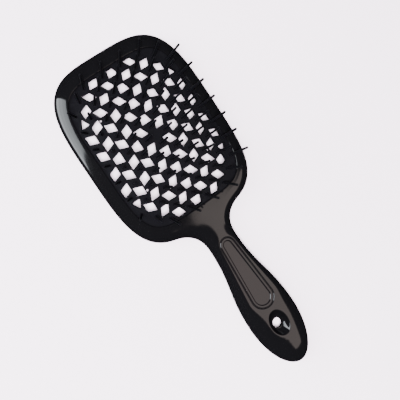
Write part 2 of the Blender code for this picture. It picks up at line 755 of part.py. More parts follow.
def main():
    clear_scene()
    origin = bpy.data.objects.new("comb_origin", None)
    bpy.context.collection.objects.link(origin)
    origin.location = (0, ORIGIN_Y, 0)
    plan = [OUTLINE, OPENING_LOOP, HOLE_LOOP]
    between("front_shell", plan, front_surface, surface_guides(True),
            front_hidden, hidden_guides(POCKET_HALF, PEG_RADIUS + GAP),
            plastic("gloss_black_abs_front", SHELL_COLOUR, SHELL_ROUGHNESS), origin)
    between("back_shell", plan, back_hidden, hidden_guides(MAT_HALF, PEG_RADIUS),
            back_surface, surface_guides(False),
            plastic("gloss_black_abs_back", SHELL_COLOUR, SHELL_ROUGHNESS), origin)
    pin_mat(plastic("black_nylon", MAT_COLOUR, MAT_ROUGHNESS), origin)


main()
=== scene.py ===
import math
from itertools import chain, product

import bmesh
import bpy
import numpy as np
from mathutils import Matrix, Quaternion, Vector
from mathutils.geometry import delaunay_2d_cdt


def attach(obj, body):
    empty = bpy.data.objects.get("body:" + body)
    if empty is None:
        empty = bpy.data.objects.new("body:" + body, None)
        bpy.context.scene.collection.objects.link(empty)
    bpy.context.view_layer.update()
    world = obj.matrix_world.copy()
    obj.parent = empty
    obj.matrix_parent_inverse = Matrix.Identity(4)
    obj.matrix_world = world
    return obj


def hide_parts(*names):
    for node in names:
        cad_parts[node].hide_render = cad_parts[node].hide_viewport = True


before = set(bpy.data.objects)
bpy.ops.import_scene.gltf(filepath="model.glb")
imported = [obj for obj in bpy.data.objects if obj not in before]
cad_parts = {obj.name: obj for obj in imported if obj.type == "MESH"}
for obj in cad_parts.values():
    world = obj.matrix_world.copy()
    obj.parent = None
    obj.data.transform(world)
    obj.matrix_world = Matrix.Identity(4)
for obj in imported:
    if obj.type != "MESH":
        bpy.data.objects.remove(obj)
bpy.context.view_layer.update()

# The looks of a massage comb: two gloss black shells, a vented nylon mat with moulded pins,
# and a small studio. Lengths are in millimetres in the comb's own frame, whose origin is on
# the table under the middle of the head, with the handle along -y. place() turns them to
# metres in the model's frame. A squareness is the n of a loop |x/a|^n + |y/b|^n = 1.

# Head and opening. The rim's widths are those at its side and at its end.
HEAD_HALF = np.array([45.1, 60.2])
HEAD_SQUARENESS = 3.7
RIM_WIDTHS = np.array([7.6, 10.4])
OPENING_HALF = HEAD_HALF - RIM_WIDTHS
OPENING_SQUARENESS = 4.6

# Neck and handle: places on the right side. A reach is how far a curve holds its way there.
SHOULDER_START = 24.0
SHOULDER_REACH = 9.0
NECK = np.array([9.6, -76.0])
NECK_REACH = 10.0
BELLY = np.array([16.2, -130.0])
BELLY_REACH = 24.0
HANDLE_END = -163.0

# Heights. The rises are above the parting plane.
PARTING = 5.5
GAP = 0.3
SIDE_BAND = 0.6
HEAD_RISE = 5.7
HANDLE_RISE = 6.4
HANDLE_END_RISE = 5.2
NECK_BACK_LIFT = 0.9

# How round the shells are: widths of their rounded edges, and powers of the curves
HEAD_ROUNDING = 7.0
EDGE_FULLNESS = 2.2
RIM_ROUNDING = 12.4
RIM_FULLNESS = 1.8
SHAFT_FLATNESS = 2.5
TAIL_FLATNESS = 2.3
CROWN_FULLNESS = 0.48
BACK_FLATNESS = 2.0
BACK_FULLNESS = 0.44

# Stretches, from and to below the head's middle, where one roundness passes into the next
RIM_TO_NECK = (28.0, 50.0)
HEAD_TO_HANDLE = (53.2, 71.0)
SHAFT_TO_TAIL = (112.0, 128.0)

# Small roundings, and the hairline between the shells
EDGE_FILLET = 0.6
PARTING_FILLET = 0.14
SEAM = 0.12

# Teardrop panel round two circles, from its level ledge inwards: groove, bead, step and floor
PANEL_TOP = -78.7
PANEL_TOP_RADIUS = 4.7
PANEL_TOP_LEDGE = 0.6
PANEL_BOTTOM = -116.3
PANEL_BOTTOM_RADIUS = 7.3
PANEL_BOTTOM_LEDGE = 2.0
GROOVE_WIDTH = 0.85
GROOVE_DEPTH = 0.3
BEAD_WIDTH = 1.3
STEP_WIDTH = 0.5
RECESS = 0.4

# Hang hole and its dish
HOLE = np.array([0.0, -135.6])
HOLE_RADIUS = 3.1
HOLE_LENGTH = 3.0
DISH_HALF = np.array([6.0, 8.25])
DISH_EDGE_SOFTNESS = 0.05

# Mat
MAT_THICKNESS = 2.2
LIP_THICKNESS = 1.4
FLANGE_WIDTH = 2.4
DOME_HEIGHT = 5.1
DOME_ROUND_SHARE = 0.27

# Vents, on every second cell of a grid. In a listed column they have upright sides up to the
# listed row, and level upper and lower edges from there outwards, as in all other columns.
FIELD_MARGIN = 1.0
PITCH = np.array([6.6, 5.75])
VENT_HALF = np.array([2.75, 2.65])
VENT_LEAN = 1.2
VENT_SLANT = 1.0
VENT_STAGGER = 0.5
VENT_TAPER = 0.7
VENT_INSET = 1.3
VENT_FILLET = 0.18
CORNER_LIMIT = 1.02
CORNER_CUT = 0.4
LEVEL_VENTS_FROM_ROW = {1: 1, 2: 6, 3: 5, 4: 8, 5: 5}
RELIEF_CELL = np.array([3.4, 4.25])
RELIEF_RADIUS = 0.7

# Pins. A foot keeps its room to the field's border. The flare is the radius at the foot,
# which passes into the pin over the flare heights.
PIN_LENGTH = 19.4
PIN_ROOM = 0.8
PIN_RADIUS = 0.78
PIN_TIP_RADIUS = 0.74
PIN_FLARE = 0.95
PIN_FLARE_HEIGHTS = np.array([0.0, 0.07, 0.2, 0.45, 0.9])

# Worked out from the sizes above
LIP_UNDERSIDE = PARTING + HEAD_RISE - LIP_THICKNESS
MAT_EDGE = LIP_UNDERSIDE - GAP
SEAT = MAT_EDGE - MAT_THICKNESS - GAP
MAT_HALF = OPENING_HALF + FLANGE_WIDTH
POCKET_HALF = MAT_HALF + GAP
DOME_HALF = OPENING_HALF - GAP
FIELD_HALF = OPENING_HALF - FIELD_MARGIN
ORIGIN_Y = (-HANDLE_END - HEAD_HALF[1]) / 2

# Points along each stretch of the half loop, from the head's top to the handle's end, and the
# places on the outline where the stretches from the bottom edge to the bridge end, as y
HEAD_STEPS = 110
BOTTOM_STEPS = 20
THROAT_STEPS = 22
PANEL_TOP_STEPS = 16
PANEL_SIDE_STEPS = 46
PANEL_END_STEPS = 22
BRIDGE_STEPS = 4
DISH_STEPS = 34
STRETCH_ENDS = (-64.5, -72.6, -79.4, -117.0, -124.6, -127.2)

# Loops across the sheet, the panel and the dish, crowded where the surface bends
SHEET_OUTER_LOOPS = 46
SHEET_OUTER_SHARE = 0.9
SHEET_CROWDING = 1.9
SHEET_INNER_LOOPS = 12
PANEL_LOOPS = 34
PANEL_REACH = 2.0
PANEL_FLOOR = 2.9
PANEL_SHRINKS = (0.9, 0.7, 0.45, 0.2, 0)
DISH_REACH = 1.2
DISH_LIP_SHARE = 0.86
DISH_LIP_LOOPS = 20
DISH_BOWL_LOOPS = 22
PARTING_LOOPS = 4

# Other divisions, and the tolerances of the meshes
CURVE_POINTS = 300
BORDER_POINTS = 180
CORNER_POINTS = 4
VENT_FILLET_RINGS = 3
RELIEF_SIDES = 12
PIN_SIDES = 12
PIN_TIP_RINGS = 5
DISTANCE_BATCH = 4000
TINY = 1e-6
LEAST_SHARE = 1e-4
PLAN_TOLERANCE = 1e-5
MERGE = 1e-6
CREASE_ANGLE = 50

# ABS shot into a polished mould: to the eye black glass, whose sharp highlights waver a little
# over the slight sinks of the walls. Its real grain, under 0.1 mm, is drawn coarser to show.
PLASTIC_IOR = 1.53
SHELL_FINISH = {
    "colour": 0x070708, "specular": 0.36, "roughness": 0.07, "roughness_spread": 0.02,
    "wave": 11, "wave_height": 0.02, "grain": 0.5, "grain_height": 0.0005}

# Nylon shot into a plain mould: to the eye a soft black without highlights. Its real grain,
# about 0.1 mm, is drawn coarser to show.
MAT_FINISH = {
    "colour": 0x0A0A0C, "specular": 0.025, "roughness": 0.34, "roughness_spread": 0.05,
    "wave": 6, "wave_height": 0.01, "grain": 0.35, "grain_height": 0.003}
ROUGHNESS_PATCH = 22
NOISE_RANGE = (0.3, 0.7)

# Card of the floor: to the eye a matt white sheet with a faint warm mottle
FLOOR_COLOUR = 0xFBEFF8
FLOOR_MOTTLE_COLOUR = 0xF7EBF4
FLOOR_MOTTLE = 60
FLOOR_ROUGHNESS = 0.7
FLOOR_SIZE = 6.0

# Dim room
ROOM_COLOUR = 0x2C2C30
ROOM_STRENGTH = 1.0

# Tall window, in metres and degrees. Each pane has its lower and upper edge and its radiance.
WINDOW_AZIMUTH = 143.9
WINDOW_DISTANCE = 1.2
WINDOW_WIDTH = 1.09
WINDOW_LEAN = 6.5
WINDOW_LEVEL = 1.7
WINDOW_COLOUR = 0xF4FAFF
WINDOW_PANES = ((0.25, 0.7, 14.0), (0.7, 1.3, 11.0), (1.3, 1.8, 9.0), (1.8, 2.2, 7.5))

# Ceiling light, in metres and degrees. Its corners are given from the tip on, each as a place
# along the light and the two edges there, and the strips that make it up from the wide end on.
CEILING_PLACE = (0.494, -0.498, 1.2)
CEILING_TURN = 69.5
CEILING_CORNERS = np.array([(-0.415, -0.05, 0.03), (-0.32, -0.42, 0.09), (-0.21, -0.40, 0.155),
                            (-0.10, -0.35, 0.35), (0.37, -0.35, 0.35)])
CEILING_STRIPS = (0.37, -0.10, -0.13, -0.16, -0.20, -0.26, -0.32, -0.345, -0.37, -0.395, -0.415)
CEILING_COLOUR = 0xFFEEE6
CEILING_RADIANCE = 2.6

# Key light, in metres
KEY_PLACE = (-0.42, -0.08, 1.45)
KEY_SIZE = (0.5, 0.5)
KEY_COLOUR = 0xFFFAFF
KEY_RADIANCE = 150.0

# Camera, in metres and degrees, with its lens and sensor in millimetres
CAMERA_AIM = (0.00425, 0.00397, 0.0)
CAMERA_DISTANCE = 0.49207
CAMERA_AZIMUTH = -10.25
CAMERA_ELEVATION = 75.05
CAMERA_ROLL = 66.0355
CAMERA_LENS = 72.0
CAMERA_SENSOR = 36
CAMERA_CLIP = (0.01, 50)


def place(points):
    """Millimetres in the comb's frame as metres in the model's frame."""
    return (np.asarray(points, float) + (0, ORIGIN_Y, 0)) / 1000


def smooth_step(value, start, end):
    """Ease from 0 at start to 1 at end, 3t^2 - 2t^3."""
    share = np.clip((value - start) / (end - start), 0, 1)
    return share * share * (3 - 2 * share)


def full_arc(share, fullness):
    """Height (1 - (1 - s)^n)^(1/n) of a quarter of a full ellipse, 0 at s = 0 and 1 at s = 1."""
    return (1 - (1 - np.clip(share, 0, 1)) ** fullness) ** (1 / fullness)


def quarter_turn(count):
    """Even angles from 0 to a quarter turn, both among them."""
    return np.linspace(0, math.pi / 2, count)


def whole_turn(count):
    """Even angles round a whole turn, anticlockwise."""
    return np.linspace(0, 2 * math.pi, count, endpoint=False)


def way_at(angle):
    """The unit direction (cos a, sin a) at each angle."""
    return np.column_stack([np.cos(angle), np.sin(angle)])


def circle(centre, radius, count):
    """Points round a circle, anticlockwise."""
    return np.asarray(centre) + way_at(whole_turn(count)) * radius


def ray_point(half, squareness, angle):
    """The point of |x/a|^n + |y/b|^n = 1 on each ray from the middle."""
    way = way_at(angle)
    return way * (np.abs(way / half) ** squareness).sum(axis=1, keepdims=True) ** (-1 / squareness)


def facing(points, half, squareness):
    """The angle of the outward normal at points of |x/a|^n + |y/b|^n = 1."""
    normal = np.sign(points) * np.abs(points / half) ** (squareness - 1) / half
    return np.arctan2(normal[:, 1], normal[:, 0])


def facing_point(half, squareness, angle):
    """The point of |x/a|^n + |y/b|^n = 1 whose outward normal has each angle.

    Along the normal's direction (u, v) its parts are in proportion to |u a|^(1/(n - 1)) and
    |v b|^(1/(n - 1)), times a and b.
    """
    way = way_at(angle)
    reach = np.abs(way * half) ** (1 / (squareness - 1))
    size = (reach**squareness).sum(axis=1, keepdims=True) ** (1 / squareness)
    return half * np.sign(way) * reach / size


def rounded_share(points, half, squareness):
    """Share of the way from the middle to the edge |x/a|^n + |y/b|^n = 1."""
    return (np.abs(points / half) ** squareness).sum(axis=1) ** (1 / squareness)


def bezier(*corners):
    """A cubic curve through its first and last corner."""
    t = np.linspace(0, 1, CURVE_POINTS)[:, None]
    a, b, c, d = np.array(corners, float)
    return (1 - t) ** 3 * a + 3 * t * (1 - t) ** 2 * b + 3 * t * t * (1 - t) * c + t**3 * d


def mirrored(run):
    """A closed loop from its right half, which starts and ends on the middle line."""
    return np.vstack([run, run[-2:0:-1] * (-1, 1)])


def right_way(loop):
    """The unit direction square to a loop, to the right of its run.

    It points out of an anticlockwise loop and into a clockwise one.
    """
    along = np.roll(loop, -1, axis=0) - np.roll(loop, 1, axis=0)
    along /= np.linalg.norm(along, axis=1)[:, None]
    return np.column_stack([along[:, 1], -along[:, 0]])


def distance_to(points, loop):
    """Least distance from each point to a closed loop, in batches that spare the memory."""
    way = np.roll(loop, -1, axis=0) - loop
    length = np.maximum((way * way).sum(axis=1), TINY**2)
    nearest = np.empty(len(points))
    for batch in np.array_split(np.arange(len(points)), 1 + len(points) // DISTANCE_BATCH):
        offset = points[batch, None] - loop
        share = np.clip((offset * way).sum(axis=2) / length, 0, 1)
        nearest[batch] = np.linalg.norm(offset - share[..., None] * way, axis=2).min(axis=1)
    return nearest


def inside(points, loop):
    """Even-odd test of points against a closed loop."""
    x, y = points[:, :1], points[:, 1:]
    x1, y1 = loop.T
    x2, y2 = np.roll(loop, -1, axis=0).T
    rise = np.where(y2 == y1, 1, y2 - y1)
    crosses = ((y1 > y) != (y2 > y)) & (x < x1 + (y - y1) * (x2 - x1) / rise)
    return crosses.sum(axis=1) % 2 == 1


def shoulder():
    """The point where the shoulder leaves the head, and the angle that the head faces there."""
    share = 1 - (SHOULDER_START / HEAD_HALF[0]) ** HEAD_SQUARENESS
    point = np.array([SHOULDER_START, -HEAD_HALF[1] * share ** (1 / HEAD_SQUARENESS)])
    return point, facing(point[None], HEAD_HALF, HEAD_SQUARENESS)[0]


SHOULDER, SHOULDER_FACING = shoulder()


def lower_outline():
    """The right side below the head: shoulder, neck, belly and the elliptical end."""
    way = np.array([math.sin(SHOULDER_FACING), -math.cos(SHOULDER_FACING)])
    down = np.array([0.0, -1.0])
    neck = bezier(SHOULDER, SHOULDER + SHOULDER_REACH * way, NECK - NECK_REACH * down, NECK)
    shaft = bezier(NECK, NECK + BELLY_REACH * down, BELLY - BELLY_REACH * down, BELLY)
    turn = quarter_turn(CURVE_POINTS)
    fall = (HANDLE_END - BELLY[1]) * np.sin(turn)
    tail = np.column_stack([BELLY[0] * np.cos(turn), BELLY[1] + fall])
    return np.vstack([neck, shaft[1:], tail[1:]])


def opening_facing():
    """Facing angles down the opening's right half, in even rays to the shoulder and beyond it."""
    turning = facing_point(OPENING_HALF, OPENING_SQUARENESS, np.array([SHOULDER_FACING]))[0]
    turning_ray = math.atan2(turning[1], turning[0])
    rays = np.concatenate([np.linspace(math.pi / 2, turning_ray, HEAD_STEPS + 1),
                           np.linspace(turning_ray, -math.pi / 2, BOTTOM_STEPS + 1)[1:]])
    points = ray_point(OPENING_HALF, OPENING_SQUARENESS, rays)
    angle = facing(points, OPENING_HALF, OPENING_SQUARENESS)
    angle[[0, HEAD_STEPS, -1]] = math.pi / 2, SHOULDER_FACING, -math.pi / 2
    return angle


LOWER = lower_outline()
OPENING_FACING = opening_facing()


def outline_run():
    """Right half of the outline, one point for each point of the inner run.

    The head's points face the same way as the opening's, and below it each stretch is
    divided evenly along the outline.
    """
    head = facing_point(HEAD_HALF, HEAD_SQUARENESS, OPENING_FACING[: HEAD_STEPS + 1])
    steps = np.linalg.norm(np.diff(LOWER, axis=0), axis=1)
    travelled = np.concatenate([[0], np.cumsum(steps)])
    stops = [0, *np.interp(STRETCH_ENDS, LOWER[::-1, 1], travelled[::-1]), travelled[-1]]
    counts = (BOTTOM_STEPS, THROAT_STEPS, PANEL_TOP_STEPS, PANEL_SIDE_STEPS, PANEL_END_STEPS,
              BRIDGE_STEPS, DISH_STEPS)
    places = np.concatenate([np.linspace(start, end, count + 1)[1:]
                             for start, end, count in zip(stops, stops[1:], counts)])
    lower = np.column_stack([np.interp(places, travelled, LOWER[:, axis]) for axis in (0, 1)])
    run = np.vstack([head, lower])
    run[[0, -1], 0] = 0
    return run


def opening_loop(half):
    """The loop round the head's opening, or round the mat's pocket, for its half size."""
    run = facing_point(half, OPENING_SQUARENESS, OPENING_FACING)
    run[[0, -1], 0] = 0
    return mirrored(run)


OUTLINE_RUN = outline_run()
OUTLINE = mirrored(OUTLINE_RUN)
OPENING = opening_loop(OPENING_HALF)


def panel_points(reach, shrink=1.0):
    """Right half of the teardrop moved outwards by a reach: arc, side and arc.

    Each point is one on the middle line plus a radius in the direction that the edge faces.
    The radius is shrunk to a share of itself, down to the middle line at 0.
    """
    lean = math.asin((PANEL_BOTTOM_RADIUS - PANEL_TOP_RADIUS) / (PANEL_TOP - PANEL_BOTTOM))
    angle = np.concatenate([np.linspace(math.pi / 2, lean, PANEL_TOP_STEPS + 1),
                            np.full(PANEL_SIDE_STEPS, lean),
                            np.linspace(lean, -math.pi / 2, PANEL_END_STEPS + 1)[1:]])
    share = np.concatenate([np.zeros(PANEL_TOP_STEPS + 1),
                            np.linspace(0, 1, PANEL_SIDE_STEPS + 1)[1:],
                            np.ones(PANEL_END_STEPS)])
    radius = PANEL_TOP_RADIUS + share * (PANEL_BOTTOM_RADIUS - PANEL_TOP_RADIUS) + reach
    points = way_at(angle) * (radius * shrink)[:, None]
    points[:, 1] += PANEL_TOP + share * (PANEL_BOTTOM - PANEL_TOP)
    points[[0, -1], 0] = 0
    return points


def dish_edge(way):
    """Distance from the hole's middle to the dish's elliptical edge in each direction."""
    return 1 / np.linalg.norm(way / DISH_HALF, axis=1)


def dish_points(share):
    """Right half of a loop a share of the way from the hang hole to the dish's edge."""
    way = way_at(np.linspace(math.pi / 2, -math.pi / 2, DISH_STEPS + 1))
    points = HOLE + way * (HOLE_RADIUS + share * (dish_edge(way) - HOLE_RADIUS))[:, None]
    points[[0, -1], 0] = 0
    return points


def inner_loop(head_half, with_panel, dish_share):
    """The loop that meets the outline point by point: opening, panel and dish.

    The middle line joins them, and takes the panel's place where there is none.
    """
    opening = opening_loop(head_half)[: len(OPENING_FACING)]
    panel = panel_points(PANEL_REACH)
    if not with_panel:
        panel[:, 0] = 0
    dish = dish_points(dish_share)
    throat = np.linspace(opening[-1], panel[0], THROAT_STEPS + 1)[1:]
    bridge = np.linspace(panel[-1], dish[0], BRIDGE_STEPS + 1)[1:]
    return mirrored(np.vstack([opening, throat, panel[1:], bridge, dish[1:]]))


def half_width(y):
    """Half the comb's width at y."""
    return np.interp(y, OUTLINE_RUN[::-1, 1], OUTLINE_RUN[::-1, 0])


def handle_roundness(points, flatness, fullness):
    """(1 - (x/w)^n)^p across the handle, for the flatness n and the fullness p.

    Round the handle's end the ellipse of the end takes the place of the width.
    """
    x, y = points.T
    tail = np.clip((BELLY[1] - y) / (BELLY[1] - HANDLE_END), 0, 1) ** 2
    width = np.where(y < BELLY[1], BELLY[0], np.maximum(half_width(y), TINY))
    return (1 - np.clip(tail + (x / width) ** 2, 0, 1) ** (flatness / 2)) ** fullness


def front_roundness(points):
    """0 at the outline and 1 on the crown.

    Across the rim it is the first part of a full ellipse, so that the rim still falls outwards
    at the opening, and at the neck a quarter of one across the outer edge.
    """
    y = points[:, 1]
    reach = distance_to(points, OUTLINE)
    rim = full_arc(reach / RIM_ROUNDING, RIM_FULLNESS)
    rim = rim / full_arc(RIM_WIDTHS[0] / RIM_ROUNDING, RIM_FULLNESS)
    edge = full_arc(reach / HEAD_ROUNDING, EDGE_FULLNESS)
    rim = rim + (edge - rim) * smooth_step(-y, *RIM_TO_NECK)
    to_tail = smooth_step(-y, *SHAFT_TO_TAIL)
    flatness = SHAFT_FLATNESS + (TAIL_FLATNESS - SHAFT_FLATNESS) * to_tail
    handle = handle_roundness(points, flatness, CROWN_FULLNESS)
    return rim + (handle - rim) * smooth_step(-y, *HEAD_TO_HANDLE)


def back_roundness(points):
    """0 at the outline and 1 on the flat of the back, where the comb lies on the table."""
    edge = full_arc(distance_to(points, OUTLINE) / HEAD_ROUNDING, EDGE_FULLNESS)
    handle = handle_roundness(points, BACK_FLATNESS, BACK_FULLNESS)
    return edge + (handle - edge) * smooth_step(-points[:, 1], *HEAD_TO_HANDLE)


def crown(points):
    """Front surface without panel, dish and fillets: the side's height plus a rounded rise."""
    y = points[:, 1]
    rise = HEAD_RISE + (HANDLE_RISE - HEAD_RISE) * smooth_step(-y, OPENING_HALF[1], -BELLY[1])
    rise = rise - (HANDLE_RISE - HANDLE_END_RISE) * smooth_step(-y, -NECK[1], -HANDLE_END)
    base = GAP / 2 + SIDE_BAND
    return PARTING + base + (rise - base) * front_roundness(points)


def back(points):
    """Back surface without dish and fillets, raised a little behind the neck."""
    y = points[:, 1]
    bump = smooth_step(-y, HEAD_HALF[1] - RIM_WIDTHS[1] / 2, -NECK[1])
    bump = bump * (1 - smooth_step(-y, -NECK[1], -BELLY[1]))
    base = GAP / 2 + SIDE_BAND
    return PARTING - base - (PARTING - NECK_BACK_LIFT * bump - base) * back_roundness(points)


def panel_distance(points):
    """Distance outside the teardrop round two circles, negative inside it.

    Beside its lower circle, its side or its upper circle it is the distance to each of them.
    """
    across = np.abs(points[:, 0])
    up = points[:, 1] - PANEL_BOTTOM
    length = PANEL_TOP - PANEL_BOTTOM
    lean = (PANEL_BOTTOM_RADIUS - PANEL_TOP_RADIUS) / length
    level = math.sqrt(1 - lean * lean)
    along = level * up - lean * across
    low = np.hypot(across, up) - PANEL_BOTTOM_RADIUS
    high = np.hypot(across, up - length) - PANEL_TOP_RADIUS
    side = level * across + lean * up - PANEL_BOTTOM_RADIUS
    return np.where(along < 0, low, np.where(along > level * length, high, side))


def panel_relief(points):
    """Ledge, groove, bead and recess of the panel, as a change of height.

    Inside the ledge's edge the surface is as high as the crown on the middle line, so it is
    level from side to side. Beyond it the surface eases back to the crown at the outline. The
    groove is a parabola across the teardrop's edge, and the bead is what it leaves standing.
    """
    out = panel_distance(points)
    ledge = np.interp(points[:, 1], (PANEL_BOTTOM, PANEL_TOP),
                      (PANEL_BOTTOM_LEDGE, PANEL_TOP_LEDGE))
    beyond = np.maximum(out - ledge, 0)
    eased = beyond / (beyond + distance_to(points, OUTLINE) + TINY)
    middle = points * (0, 1)
    level = (crown(middle) - crown(points)) * (1 - smooth_step(eased, 0, 1))
    groove_edge = GROOVE_WIDTH / 2
    bead_edge = groove_edge + BEAD_WIDTH
    groove = np.clip(1 - (out / groove_edge) ** 2, 0, 1)
    floor = smooth_step(-out, bead_edge, bead_edge + STEP_WIDTH)
    return level - GROOVE_DEPTH * groove - RECESS * floor


def dished(points, surface, waist):
    """A surface sunk inside the dish as a bowl, sin of a quarter turn, to the hole's edge.

    The share s of the way in is softened at the dish's edge as (s + sqrt(s^2 + e^2)) / 2.
    """
    offset = points - HOLE
    radius = np.linalg.norm(offset, axis=1)
    edge = dish_edge(offset / np.maximum(radius, TINY)[:, None])
    into = 1 - (radius - HOLE_RADIUS) / (edge - HOLE_RADIUS)
    into = (into + np.sqrt(into**2 + DISH_EDGE_SOFTNESS**2)) / 2
    return surface + (waist - surface) * np.sin(np.clip(into, 0, 1) * math.pi / 2)


def opening_fillet(points):
    """Drop of the quarter-round edge along the opening."""
    near = np.clip(1 - distance_to(points, OPENING) / EDGE_FILLET, 0, 1)
    return EDGE_FILLET * (1 - np.sqrt(1 - near**2))


def front_surface(points):
    """Height of the whole front: crown, panel, fillet and dish."""
    surface = crown(points) + panel_relief(points) - opening_fillet(points)
    return dished(points, surface, PARTING + HOLE_LENGTH / 2)


def back_surface(points):
    """Height of the whole back: back, fillet and dish."""
    surface = back(points) + opening_fillet(points)
    return dished(points, surface, PARTING - HOLE_LENGTH / 2)


def raised(loops, height):
    """Loops in the plan as a grid of points, all at one height or each on a surface."""
    grid = np.array(loops)
    flat = grid.reshape(-1, 2)
    level = height(flat) if callable(height) else np.full(len(flat), float(height))
    return np.column_stack([flat, level]).reshape(*grid.shape[:2], 3)


def levels(loops, heights):
    """A grid of points from loops in the plan, each at its own height."""
    return np.vstack([raised([loop], height) for loop, height in zip(loops, heights)])


def sheet_shares():
    """Shares across the sheet, close together at the outline and at the inner edge."""
    outer = SHEET_OUTER_SHARE * np.linspace(0, 1, SHEET_OUTER_LOOPS) ** SHEET_CROWDING
    return np.concatenate([outer, np.linspace(SHEET_OUTER_SHARE, 1, SHEET_INNER_LOOPS)[1:]])


def seen_patches(surface):
    """The seen side of a shell: its sheet, its teardrop panel and the dish round the hole.

    The sheet's loops pass evenly from the outline to the inner loop, the panel's step inwards
    and shrink to its middle line, and the dish's close in on the hole.
    """
    inner = inner_loop(OPENING_HALF, True, DISH_REACH)
    sheet = [OUTLINE + share * (inner - OUTLINE) for share in sheet_shares()]
    reaches = PANEL_REACH - np.linspace(0, 1, PANEL_LOOPS) * (PANEL_REACH + PANEL_FLOOR)
    panel = [mirrored(panel_points(reach)) for reach in reaches]
    panel += [mirrored(panel_points(-PANEL_FLOOR, shrink)) for shrink in PANEL_SHRINKS]
    shares = np.concatenate([np.linspace(DISH_REACH, DISH_LIP_SHARE, DISH_LIP_LOOPS),
                             np.linspace(DISH_LIP_SHARE, 0, DISH_BOWL_LOOPS)[1:]])
    dish = [mirrored(dish_points(share)) for share in shares]
    return [raised(loops, surface) for loops in (sheet, panel, dish)]


def grid_faces(rows, columns, first):
    """Quads between neighbouring closed loops of a grid."""
    row, column = np.meshgrid(np.arange(rows - 1), np.arange(columns), indexing="ij")
    after = (column + 1) % columns
    quads = [row * columns + column, row * columns + after, (row + 1) * columns + after,
             (row + 1) * columns + column]
    return np.stack(quads, axis=-1).reshape(-1, 4) + first


def closed_mesh(name, patches):
    """One mesh from grids of closed loops, its doubles merged and its faces turned out."""
    sizes = [patch.shape[0] * patch.shape[1] for patch in patches]
    faces = [grid_faces(*patch.shape[:2], first)
             for patch, first in zip(patches, np.cumsum([0, *sizes]))]
    vertices = np.vstack([patch.reshape(-1, 3) for patch in patches])
    mesh = bpy.data.meshes.new(name)
    mesh.from_pydata(place(vertices).tolist(), [], np.vstack(faces).tolist())
    shape = bmesh.new()
    shape.from_mesh(mesh)
    bmesh.ops.remove_doubles(shape, verts=shape.verts, dist=MERGE)
    bmesh.ops.recalc_face_normals(shape, faces=shape.faces)
    shape.to_mesh(mesh)
    shape.free()
    mesh.shade_smooth()
    mesh.set_sharp_from_angle(angle=math.radians(CREASE_ANGLE))
    return mesh


def piece(name, mesh, material, node):
    """Finish a piece, which rides on the comb's one body in place of a CAD node."""
    mesh.materials.append(material)
    obj = bpy.data.objects.new(name, mesh)
    bpy.context.scene.collection.objects.link(obj)
    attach(obj, "root")
    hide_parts(node)


def shell(name, surface, side, seat_half, seat, material, node):
    """Front or back shell, as grids of closed loops that share their edges.

    side is +1 for the front and -1 for the back. The hidden side is a flat land with a step
    round the mat, whose half size and height are given. The edge at the parting is a quarter
    round, f (1 - cos a) inwards and f (1 - sin a) off the land. The sheet's first loop is set
    to the side's height, which the surface meets there only to within a hair.
    """
    land = PARTING + side * SEAM / 2
    band = PARTING + side * (GAP / 2 + SIDE_BAND)
    sheet, panel, dish = seen_patches(surface)
    sheet[0, :, 2] = band
    bore_heights = (dish[-1, 0, 2], land + side * PARTING_FILLET / 2, land)
    bore = levels([mirrored(dish_points(0))] * len(bore_heights), bore_heights)
    turn = quarter_turn(PARTING_LOOPS)
    inset = PARTING_FILLET * (1 - np.cos(turn))
    rounded = [OUTLINE + right_way(OUTLINE) * step for step in inset]
    heights = land + side * PARTING_FILLET * (1 - np.sin(turn))
    outer_wall = levels([OUTLINE, *rounded], [band, *heights])
    flat = raised([rounded[-1], inner_loop(seat_half, False, 0)], land)
    seat_loop = opening_loop(seat_half)
    step_wall = levels([seat_loop, seat_loop], (land, seat))
    ledge = raised([seat_loop, OPENING], seat)
    opening_wall = levels([OPENING, OPENING], (seat, surface))
    patches = [sheet, panel, dish, bore, outer_wall, flat, step_wall, ledge, opening_wall]
    piece(name, closed_mesh(name, patches), material, node)


def dome(points):
    """Height and upward direction of the mat's top, a soft dome inside a flat flange.

    With s the share of the way to the opening's edge and c the round share, the height is
    1 - c s^2 - (1 - c) s^4 of the dome's own, and its slope gives the direction.
    """
    share = rounded_share(points, DOME_HALF, OPENING_SQUARENESS)
    inside_share = np.minimum(share, 1)
    soft = DOME_ROUND_SHARE
    rise = 1 - soft * inside_share**2 - (1 - soft) * inside_share**4
    steepness = 2 * soft * inside_share + 4 * (1 - soft) * inside_share**3
    fall = np.where(share < 1, DOME_HEIGHT * steepness, 0)
    power = OPENING_SQUARENESS - 1
    reach = np.sign(points) * np.abs(points / DOME_HALF) ** power / DOME_HALF
    slope = reach * (np.maximum(share, LEAST_SHARE) ** -power * fall)[:, None]
    up = np.column_stack([slope, np.ones(len(points))])
    return MAT_EDGE + DOME_HEIGHT * rise, up / np.linalg.norm(up, axis=1)[:, None]


def vent_corners(column, row):
    """Corners of one vent, anticlockwise about its middle, for a column and row of 0 or more.

    The middle column's vents taper outwards, and so do the middle row's in the listed columns.
    Of the others, those with level edges lean, and those with upright sides slant and are
    staggered, one way in the even columns and the other way in the odd ones.
    """
    lean = 1 if column % 2 else -1
    width, height = VENT_HALF
    if column == 0:
        wide, narrow = width + VENT_TAPER, width - VENT_TAPER
        return np.array([(-wide, -height), (wide, -height), (narrow, height), (-narrow, height)])
    if row >= LEVEL_VENTS_FROM_ROW.get(column, 0):
        shift = lean * VENT_LEAN
        return np.array([(-width - shift, -height), (width - shift, -height),
                         (width + shift, height), (-width + shift, height)])
    if row == 0:
        tall, short = height + VENT_TAPER, height - VENT_TAPER
        return np.array([(-width, -tall), (width, -short), (width, short), (-width, tall)])
    slant, lift = lean * VENT_SLANT, lean * VENT_STAGGER
    return np.array([(-width, lift - height - slant), (width, lift - height + slant),
                     (width, lift + height + slant), (-width, lift + height - slant)])


